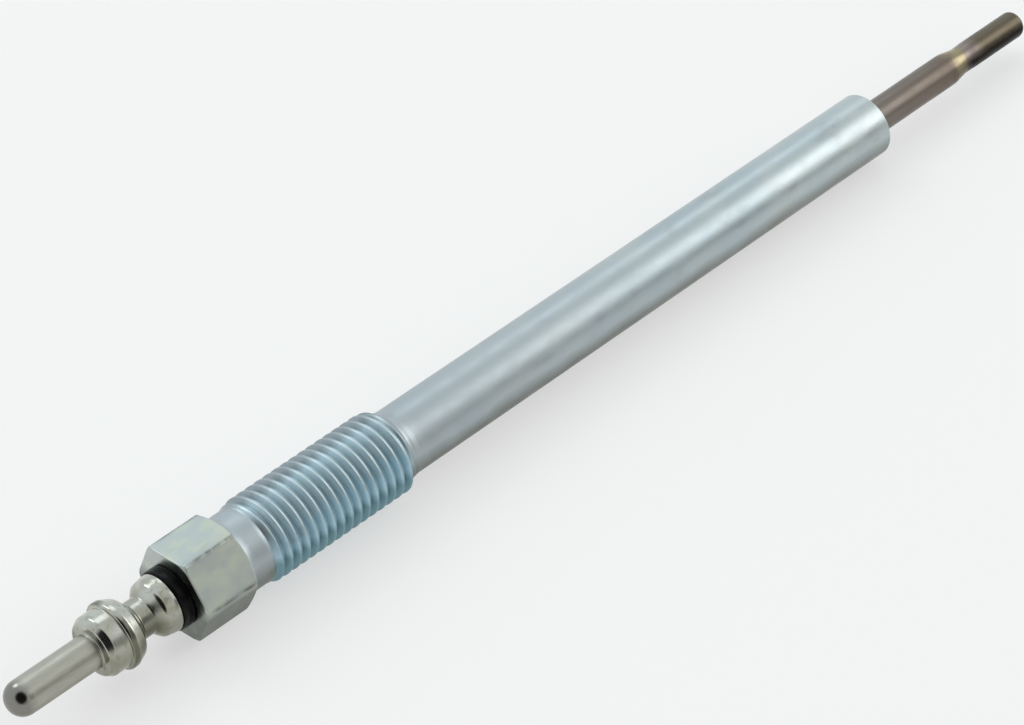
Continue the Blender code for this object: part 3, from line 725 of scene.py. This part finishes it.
zinc, tree, shader = start_material("blue passivated zinc", metallic=1.0)
along, across, up = object_axes(tree)
clouds = add_noise(tree, CLOUD_SIZE, CLOUD_STRETCH)
blotches = add_noise(tree, BLOTCH_SIZE, BLOTCH_STRETCH)
colour = mix_colour(tree, remap(tree, clouds, *SOFT), ZINC_LIGHT, ZINC_BLUE)
dulled = remap(tree, along, x_thread_end, x_thread_end + DULL_LENGTH, DULL_STRENGTH, 0.0)
colour = mix_colour(tree, dulled, colour, ZINC_LAVENDER)
on_hexagon = remap(tree, along, x_hex_back, x_hex_back + HEX_FADE, 1.0, 0.0)
sage = calculate(tree, "MULTIPLY", on_hexagon, remap(tree, blotches, *FIRM, *SAGE_STRENGTH))
colour = mix_colour(tree, sage, colour, ZINC_SAGE)
cream = remap(tree, clouds, *CREAM_LIMITS, 0.0, CREAM_STRENGTH)
colour = mix_colour(tree, calculate(tree, "MULTIPLY", on_hexagon, cream), colour, ZINC_CREAM)
threaded = between(tree, along, (x_run, x_run + THREAD_FADE_IN),
                   (x_thread_end, x_thread_end + THREAD_FADE_OUT))
height = calculate(tree, "ADD", up, remap(tree, clouds, *WIDE, -UNEVEN, UNEVEN))
# Painted shade: the plating darkens toward its underside, reaching less far up on the shank
rise = remap(tree, along, x_thread_end, x_thread_end + SHANK_RISE_LENGTH, 0.0, SHANK_RISE)
underside_shade = remap(tree, calculate(tree, "ADD", height, rise), *UNDERSIDE_SHADE_LIMITS,
                  UNDERSIDE_SHADE_STRENGTH, 0.0)
colour = mix_colour(tree, underside_shade, colour, ZINC_UNDERSIDE_SHADE)
# Painted light and shade on the thread: its teal is paler high up, deeper lower down, dark below the
# axis and darker on the back
lit_and_shaded_teal = mix_colour(tree, remap(tree, height, *TEAL_LIMITS), ZINC_DEEP_TEAL, ZINC_TEAL)
lit_and_shaded_teal = mix_colour(tree, remap(tree, height, *TEAL_SHADE_LIMITS), ZINC_TEAL_SHADE, lit_and_shaded_teal)
lit_and_shaded_teal = mix_colour(tree, remap(tree, across, *BACK_SHADE_LIMITS), lit_and_shaded_teal, ZINC_BACK_SHADE)
colour = mix_colour(tree, threaded, colour, lit_and_shaded_teal)
groove = read_mark(tree, "groove")
# Painted shade: the thread's roots are darkened
colour = mix_colour(tree, remap(tree, groove, *ROOT_SHADE_LIMITS, 0.0, ROOT_SHADE_STRENGTH), colour, ZINC_ROOT_SHADE)
crest = remap(tree, groove, *CREST_LIMITS, CREST_STRENGTH, 0.0)
colour = mix_colour(tree, calculate(tree, "MULTIPLY", threaded, crest), colour, ZINC_WORN)
rubbed = remap(tree, add_noise(tree, RUBBED_PATCH, detail=5.0), *FIRM, *RUBBED_STRENGTH)
rubbed = calculate(tree, "MULTIPLY", read_mark(tree, "edge"), rubbed)
colour = mix_colour(tree, rubbed, colour, ZINC_RUBBED)
smudges = remap(tree, add_noise(tree, SMUDGE_SIZE, SMUDGE_STRETCH, detail=6.0), *SMUDGE_LIMITS,
                0.0, SMUDGE_STRENGTH)
colour = mix_colour(tree, smudges, colour, ZINC_SMUDGE)
tree.links.new(colour, shader.inputs["Base Color"])
roughness = remap(tree, blotches, *WIDE, *ZINC_ROUGHNESS)
roughness = calculate(tree, "ADD", roughness, calculate(tree, "MULTIPLY", dulled, DULL_ROUGHNESS))
matt = calculate(tree, "MULTIPLY", threaded,
                 remap(tree, height, *TOP_LIMITS, THREAD_ROUGHNESS, 0.0))
roughness = calculate(tree, "ADD", roughness, matt)
turned_face = remap(tree, along, body_low.x, body_low.x + HEX_EDGE, FACE_SHEEN, 0.0)
tree.links.new(calculate(tree, "SUBTRACT", roughness, turned_face), shader.inputs["Roughness"])
add_bump(tree, shader, add_noise(tree, GROUND_LINE, GROUND_STRETCH), GROUND_DEPTH)
add_bump(tree, shader, add_noise(tree, ZINC_GRAIN), ZINC_GRAIN_DEPTH)

points, faces, marks = body_mesh()
body = show_mesh("plated_body", points, faces, zinc, marks)
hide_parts("body_shell")


# Insulating washer
# A ring of glossy black moulded plastic between the terminal and the hexagon. Its stem sits in the
# counterbore and keeps the rod clear of the body.
WASHER_SPOKES = 128
WASHER_THICKNESS = 1.4 * MM
WASHER_ROUND = 0.22 * MM
HOLE_ROUND = 0.08 * MM
STEM_FOOT_ROUND = 0.06 * MM
WASHER_STEM_RADIUS = 2.94 * MM
WASHER_HOLE_RADIUS = 1.56 * MM
WASHER_BLACK = (0.003, 0.003, 0.0035)
WASHER_DUST = (0.05, 0.042, 0.045)
WASHER_SPECULAR = 0.12
WASHER_ROUGHNESS = (0.12, 0.3)
DUST_SIZE = 0.5 * MM
DUST_LIMITS = (0.6, 0.8)
DUST_STRENGTH = 0.3
SHEEN_SIZE = 1.2 * MM
WASHER_GRAIN = 0.2 * MM
WASHER_GRAIN_DEPTH = 0.004 * MM

washer_low, washer_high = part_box("insulating_washer")
washer_rim = washer_high.z
x_washer_back = washer_low.x + WASHER_THICKNESS
washer_outline = rounded(
    [(washer_low.x + WASHER_ROUND, WASHER_HOLE_RADIUS, 0),
     (washer_low.x, WASHER_HOLE_RADIUS, HOLE_ROUND),
     (washer_low.x, washer_rim, WASHER_ROUND),
     (x_washer_back, washer_rim, WASHER_ROUND),
     (x_washer_back, WASHER_STEM_RADIUS, STEM_FOOT_ROUND),
     (washer_high.x, WASHER_STEM_RADIUS, HOLE_ROUND),
     (washer_high.x, WASHER_HOLE_RADIUS, HOLE_ROUND),
     (washer_high.x - WASHER_ROUND, WASHER_HOLE_RADIUS, 0)])

black_plastic, tree, shader = start_material("glossy black plastic")
shader.inputs["Specular IOR Level"].default_value = WASHER_SPECULAR
dust = remap(tree, add_noise(tree, DUST_SIZE, detail=6.0), *DUST_LIMITS, 0.0, DUST_STRENGTH)
tree.links.new(mix_colour(tree, dust, WASHER_BLACK, WASHER_DUST), shader.inputs["Base Color"])
tree.links.new(remap(tree, add_noise(tree, SHEEN_SIZE), *WIDE, *WASHER_ROUGHNESS),
               shader.inputs["Roughness"])
add_bump(tree, shader, add_noise(tree, WASHER_GRAIN), WASHER_GRAIN_DEPTH)

washer = turned("black_washer", washer_outline, WASHER_SPOKES, black_plastic)
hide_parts("insulating_washer")


# Terminal
# Turned from steel in one piece and bright nickel plated: a round-ended pin for a push-on
# connector, a collar, a flange, and a waist and rear collar that are crimped on the rod. The plating
# has olive stains in patches. Painted shade darkens it olive toward its underside and on the pin's
# underside, and darker still low in the waist behind the flange; the flange's rim is painted dark
# except along its top, a painted reflection.
TERMINAL_SPOKES = 160
PIN_RADIUS = 2.0 * MM
PIN_LENGTH = 11.0 * MM
PIN_TIP_ROUND = 1.85 * MM
COLLAR_RADIUS = 3.55 * MM
COLLAR_LENGTH = 2.6 * MM
COLLAR_BEVEL = (0.75 * MM, 0.45 * MM)
COLLAR_FOOT_ROUND = 0.25 * MM
COLLAR_FACE_ROUND = 0.3 * MM
COLLAR_CROWN_ROUND = 0.45 * MM
FLANGE_FACE_LENGTH = 0.12 * MM
FLANGE_FOOT_ROUND = 0.1 * MM
FLANGE_FRONT_ROUND = 0.33 * MM
FLANGE_BACK_ROUND = 0.45 * MM
FLANGE_LENGTH = 0.7 * MM
FLANGE_BACK_LENGTH = 2.1 * MM
FLANGE_SHOULDER = (1.2 * MM, 3.46 * MM)
FLANGE_SHOULDER_ROUND = 0.9 * MM
WAIST_RADIUS = 2.2 * MM
WAIST_LENGTH = 1.6 * MM
WAIST_FRONT_ROUND = 0.3 * MM
WAIST_BACK_ROUND = 0.25 * MM
REAR_COLLAR_RADIUS = 3.4 * MM
REAR_SHOULDER = (0.95 * MM, 3.2 * MM)
REAR_SHOULDER_ROUND = 0.7 * MM
REAR_COLLAR_RIM = 0.4 * MM
REAR_CROWN_ROUND = 0.6 * MM
REAR_EDGE_ROUND = 0.12 * MM
ROD_HOLE_RADIUS = 1.56 * MM
ROD_HOLE_EDGE = 0.1 * MM
ROD_HOLE_END_ROUND = 0.08 * MM
CRIMP_DEPTH = 8.0 * MM
NICKEL_WARM = (0.43, 0.42, 0.36)
NICKEL_PALE = (0.53, 0.53, 0.49)
NICKEL_OLIVE_STAIN_AND_SHADE = (0.19, 0.19, 0.125)
NICKEL_SHADE = (0.11, 0.11, 0.07)
PIN_GREY = (0.37, 0.36, 0.32)
PIN_END_GREY = (0.20, 0.19, 0.18)
PIN_END_STARTS = 1.2 * MM
PIN_END_LENGTH = 2.4 * MM
PIN_END_STRENGTH = 0.8
PIN_FADE = 0.1 * MM
PIN_LINE = 0.2 * MM
PIN_LINE_STRETCH = (12, 1, 1)
PIN_ROUGHNESS = 0.17
NICKEL_ROUGHNESS = (0.12, 0.22)
HAZE_SIZE = 1.5 * MM
STAIN_SIZE = 0.8 * MM
STAIN_LIMITS = (0.55, 0.72)
STAIN_STRENGTH = 0.45
TURNED_LINE = 0.1 * MM
TURNED_STRETCH = (0.4, 6, 6)
TURNED_DEPTH = 0.003 * MM
DENT_SIZE = 0.5 * MM
DENT_DEPTH = 0.008 * MM

# Where the painted shade and painted reflection lie: how far past a shoulder they start and end, and
# between which heights
LOW_SHADE_HEIGHTS = (0.3 * MM, 2.6 * MM)
LOW_SHADE_STRENGTH = 0.6
WAIST_SHADE_FADE = (-0.1 * MM, 0.2 * MM)
WAIST_SHADE_LENGTH = 1.0 * MM
WAIST_SHADE_HEIGHTS = (0.2 * MM, 2.4 * MM)
WAIST_SHADE_STRENGTH = 0.85
RIM_FADE_IN = (-0.1 * MM, 0.05 * MM)
RIM_FADE_OUT = 0.2 * MM
RIM_REFLECTION_HEIGHTS = (3.5 * MM, 3.85 * MM)
RIM_REFLECTION_STRENGTH = 0.8
PIN_SHADE_HEIGHTS = (-1.1 * MM, 0.0)
PIN_SHADE_STRENGTH = 0.85

pin_low, pin_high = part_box("terminal_pin")
flange_radius = pin_high.z
x_pin = pin_low.x
x_collar = x_pin + PIN_LENGTH
x_flange = x_collar + COLLAR_LENGTH
x_flange_back = x_flange + FLANGE_LENGTH
x_waist = x_flange_back + FLANGE_BACK_LENGTH
x_rear = x_waist + WAIST_LENGTH
terminal_outline = rounded(
    [(x_pin, 0, 0),
     (x_pin, PIN_RADIUS, PIN_TIP_ROUND),
     (x_collar, PIN_RADIUS, COLLAR_FOOT_ROUND),
     (x_collar, COLLAR_RADIUS - COLLAR_BEVEL[1], COLLAR_FACE_ROUND),
     (x_collar + COLLAR_BEVEL[0], COLLAR_RADIUS, COLLAR_CROWN_ROUND),
     (x_flange - FLANGE_FACE_LENGTH, COLLAR_RADIUS, FLANGE_FOOT_ROUND),
     (x_flange, flange_radius, FLANGE_FRONT_ROUND),
     (x_flange_back, flange_radius, FLANGE_BACK_ROUND),
     (x_flange_back + FLANGE_SHOULDER[0], FLANGE_SHOULDER[1], FLANGE_SHOULDER_ROUND),
     (x_waist, WAIST_RADIUS, WAIST_FRONT_ROUND),
     (x_rear, WAIST_RADIUS, WAIST_BACK_ROUND),
     (x_rear + REAR_SHOULDER[0], REAR_SHOULDER[1], REAR_SHOULDER_ROUND),
     (pin_high.x - REAR_COLLAR_RIM, REAR_COLLAR_RADIUS, REAR_CROWN_ROUND),
     (pin_high.x, REAR_COLLAR_RADIUS, REAR_EDGE_ROUND),
     (pin_high.x, ROD_HOLE_RADIUS, ROD_HOLE_EDGE),
     (pin_high.x - CRIMP_DEPTH, ROD_HOLE_RADIUS, ROD_HOLE_END_ROUND),
     (pin_high.x - CRIMP_DEPTH - ROD_HOLE_RADIUS / 2, 0, 0)], steps=12)

nickel, tree, shader = start_material("bright nickel plate", metallic=1.0)
along, across, up = object_axes(tree)
haze = add_noise(tree, HAZE_SIZE)
colour = mix_colour(tree, remap(tree, haze, *SOFT), NICKEL_WARM, NICKEL_PALE)
stain = remap(tree, add_noise(tree, STAIN_SIZE, detail=6.0), *STAIN_LIMITS, 0.0, STAIN_STRENGTH)
# Olive stains in patches, and painted shade: the same olive darkens the plating toward its underside
low_painted_shade = remap(tree, up, *LOW_SHADE_HEIGHTS, LOW_SHADE_STRENGTH, 0.0)
colour = mix_colour(tree, calculate(tree, "ADD", stain, low_painted_shade), colour, NICKEL_OLIVE_STAIN_AND_SHADE)
# Painted shade in the waist behind the flange, darkest low down
on_waist = between(tree, along, [x_flange_back + fade for fade in WAIST_SHADE_FADE],
                   (x_rear, x_rear + WAIST_SHADE_LENGTH))
waist_painted_shade = calculate(tree, "MULTIPLY", on_waist,
                        remap(tree, up, *WAIST_SHADE_HEIGHTS, WAIST_SHADE_STRENGTH, 0.0))
colour = mix_colour(tree, waist_painted_shade, colour, NICKEL_SHADE)
# Painted reflection: the flange's rim is painted dark except along its top
on_rim = between(tree, along, [x_flange + fade for fade in RIM_FADE_IN],
                 (x_flange_back - RIM_FADE_OUT, x_flange_back))
rim_painted_reflection = calculate(tree, "MULTIPLY", on_rim, remap(tree, up, *RIM_REFLECTION_HEIGHTS, RIM_REFLECTION_STRENGTH, 0.0))
colour = mix_colour(tree, rim_painted_reflection, colour, NICKEL_SHADE)
on_pin = remap(tree, along, x_collar - PIN_FADE, x_collar, 1.0, 0.0)
rubbed = add_noise(tree, PIN_LINE, PIN_LINE_STRETCH)
pin_colour = mix_colour(tree, remap(tree, rubbed, *WIDE), PIN_GREY, NICKEL_WARM)
round_end = remap(tree, along, x_pin + PIN_END_STARTS, x_pin + PIN_END_LENGTH, 1.0, 0.0)
pin_colour = mix_colour(tree, calculate(tree, "MULTIPLY", round_end, PIN_END_STRENGTH),
                        pin_colour, PIN_END_GREY)
# Painted shade: the pin is darkened olive on its underside
pin_painted_shade = remap(tree, up, *PIN_SHADE_HEIGHTS, PIN_SHADE_STRENGTH, 0.0)
pin_colour = mix_colour(tree, pin_painted_shade, pin_colour, NICKEL_OLIVE_STAIN_AND_SHADE)
colour = mix_colour(tree, on_pin, colour, pin_colour)
tree.links.new(colour, shader.inputs["Base Color"])
pin_roughness = calculate(tree, "MULTIPLY", on_pin,
                          remap(tree, round_end, 0.0, 1.0, PIN_ROUGHNESS, 0.0))
roughness = calculate(tree, "ADD", remap(tree, haze, *WIDE, *NICKEL_ROUGHNESS), pin_roughness)
tree.links.new(roughness, shader.inputs["Roughness"])
add_bump(tree, shader, add_noise(tree, TURNED_LINE, TURNED_STRETCH), TURNED_DEPTH)
add_bump(tree, shader, add_noise(tree, DENT_SIZE), DENT_DEPTH)

terminal = turned("nickel_terminal", terminal_outline, TERMINAL_SPOKES, nickel)
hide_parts("terminal_pin")


# Table
# A plain pale table top. The plug rests on the crest of its thread and the rim of its shank, so
# the table is tilted by the slope between those two.
TABLE_SIZE = 4.0
TABLE_WHITE = (0.93, 0.93, 0.925)
TABLE_ROUGHNESS = 0.9
TABLE_GLOW = 0.55

table_slope = (THREAD_RADIUS - SHANK_RADIUS) / (body_high.x - x_thread_end)


def table_height(x):
    """Height of the table under the plug: a straight line through the two points it rests on."""
    return -THREAD_RADIUS + table_slope * (x - x_thread_end)


half = TABLE_SIZE / 2
corners = np.array([(-half, -half), (half, -half), (half, half), (-half, half)])
table_points = np.column_stack([corners, table_height(corners[:, 0])])
mesh = bpy.data.meshes.new("table")
mesh.from_pydata(table_points.tolist(), [], [(0, 1, 2, 3)])
table = bpy.data.objects.new("table", mesh)
bpy.context.scene.collection.objects.link(table)
white_top, tree, shader = start_material("white table top")
shader.inputs["Base Color"].default_value = (*TABLE_WHITE, 1)
shader.inputs["Roughness"].default_value = TABLE_ROUGHNESS
glow = tree.nodes.new("ShaderNodeEmission")
rays = tree.nodes.new("ShaderNodeLightPath")
seen = calculate(tree, "MAXIMUM", rays.outputs["Is Camera Ray"], rays.outputs["Is Glossy Ray"])
seen = calculate(tree, "MAXIMUM", seen, rays.outputs["Is Transmission Ray"])
both = tree.nodes.new("ShaderNodeMixShader")
tree.links.new(calculate(tree, "MULTIPLY", seen, TABLE_GLOW), both.inputs["Fac"])
tree.links.new(shader.outputs["BSDF"], both.inputs[1])
tree.links.new(glow.outputs["Emission"], both.inputs[2])
tree.links.new(both.outputs["Shader"], tree.nodes["Material Output"].inputs["Surface"])
mesh.materials.append(white_top)


# Lights
# A pale studio dome, cooler behind the plug and warmer in front, with a brighter patch high behind,
# a window beyond the heater tip and a darker patch in front of it. The bright rounds mirror the dark
# camera, and one soft lamp stands behind.
DOME_FRONT = (0.79, 0.79, 0.75)
DOME_BACK = (0.88, 0.97, 1.01)

# Each zone is two angles from its direction, in degrees: where its light is full and where it ends
DOME_DIRECTION = (0, 1, 0)
DOME_ZONE = (0, 180)
BACK_LIGHT = (1.7, 1.8, 1.85)
BACK_DIRECTION = (0.46, 0.53, 0.71)
BACK_ZONE = (8, 13)
WINDOW_LIGHT = (2.7, 2.75, 2.75)
WINDOW_DIRECTION = (0.80, -0.36, 0.48)
WINDOW_ZONE = (11, 25)
FRONT_DARK = (0.32, 0.34, 0.33)
FRONT_DIRECTION = (0.47, -0.80, 0.36)
FRONT_ZONE = (8, 20)
CAMERA_DARK = (0.02, 0.02, 0.02)
CAMERA_DIRECTION = (-0.54, -0.51, 0.66)
CAMERA_ZONE = (32, 42)
LAMP_DIRECTION = (-0.06, 0.73, 0.68)
LAMP_SIZE = 0.36
LAMP_POWER = 1.1

world = bpy.data.worlds.new("studio dome")
bpy.context.scene.world = world
world.use_nodes = True
tree = world.node_tree
background = tree.nodes["Background"]
direction = tree.nodes.new("ShaderNodeTexCoord").outputs["Object"]


def zone(centre, core, rim):
    """1 within core degrees of a direction, falling to 0 at rim degrees from it."""
    towards = tree.nodes.new("ShaderNodeVectorMath")
    towards.operation = "DOT_PRODUCT"
    towards.inputs[1].default_value = unit(np.array(centre))
    tree.links.new(direction, towards.inputs[0])
    near, far = np.cos(np.radians([core, rim]))
    return remap(tree, towards.outputs["Value"], far, near)


colour = mix_colour(tree, zone(DOME_DIRECTION, *DOME_ZONE), DOME_FRONT, DOME_BACK)
colour = mix_colour(tree, zone(BACK_DIRECTION, *BACK_ZONE), colour, BACK_LIGHT)
colour = mix_colour(tree, zone(FRONT_DIRECTION, *FRONT_ZONE), colour, FRONT_DARK)
colour = mix_colour(tree, zone(WINDOW_DIRECTION, *WINDOW_ZONE), colour, WINDOW_LIGHT)
colour = mix_colour(tree, zone(CAMERA_DIRECTION, *CAMERA_ZONE), colour, CAMERA_DARK)
tree.links.new(colour, background.inputs["Color"])

light = bpy.data.lights.new("soft lamp", "AREA")
light.size = LAMP_SIZE
light.energy = LAMP_POWER
lamp = bpy.data.objects.new("soft lamp", light)
away = unit(np.array(LAMP_DIRECTION))
lamp.location = away
lamp.rotation_euler = (np.arccos(away[2]), 0, np.arctan2(away[0], -away[1]))
bpy.context.scene.collection.objects.link(lamp)


# Camera
# It looks down on the plug from beyond its terminal pin, as the photograph does.
CAMERA_PLACE = (-0.22163, -0.20997, 0.26941)
CAMERA_AZIMUTH = np.radians(-45.45)
CAMERA_ELEVATION = np.radians(41.96)
CAMERA_LENS = 127.6
CAMERA_SENSOR = 36.0
CAMERA_NEAR = 0.01

lens = bpy.data.cameras.new("camera")
lens.lens = CAMERA_LENS
lens.sensor_width = CAMERA_SENSOR
lens.clip_start = CAMERA_NEAR
camera = bpy.data.objects.new("camera", lens)
camera.location = CAMERA_PLACE
camera.rotation_euler = (np.pi / 2 - CAMERA_ELEVATION, 0, CAMERA_AZIMUTH)
bpy.context.scene.collection.objects.link(camera)
bpy.context.scene.camera = camera
bpy.context.scene.view_settings.view_transform = "Standard"
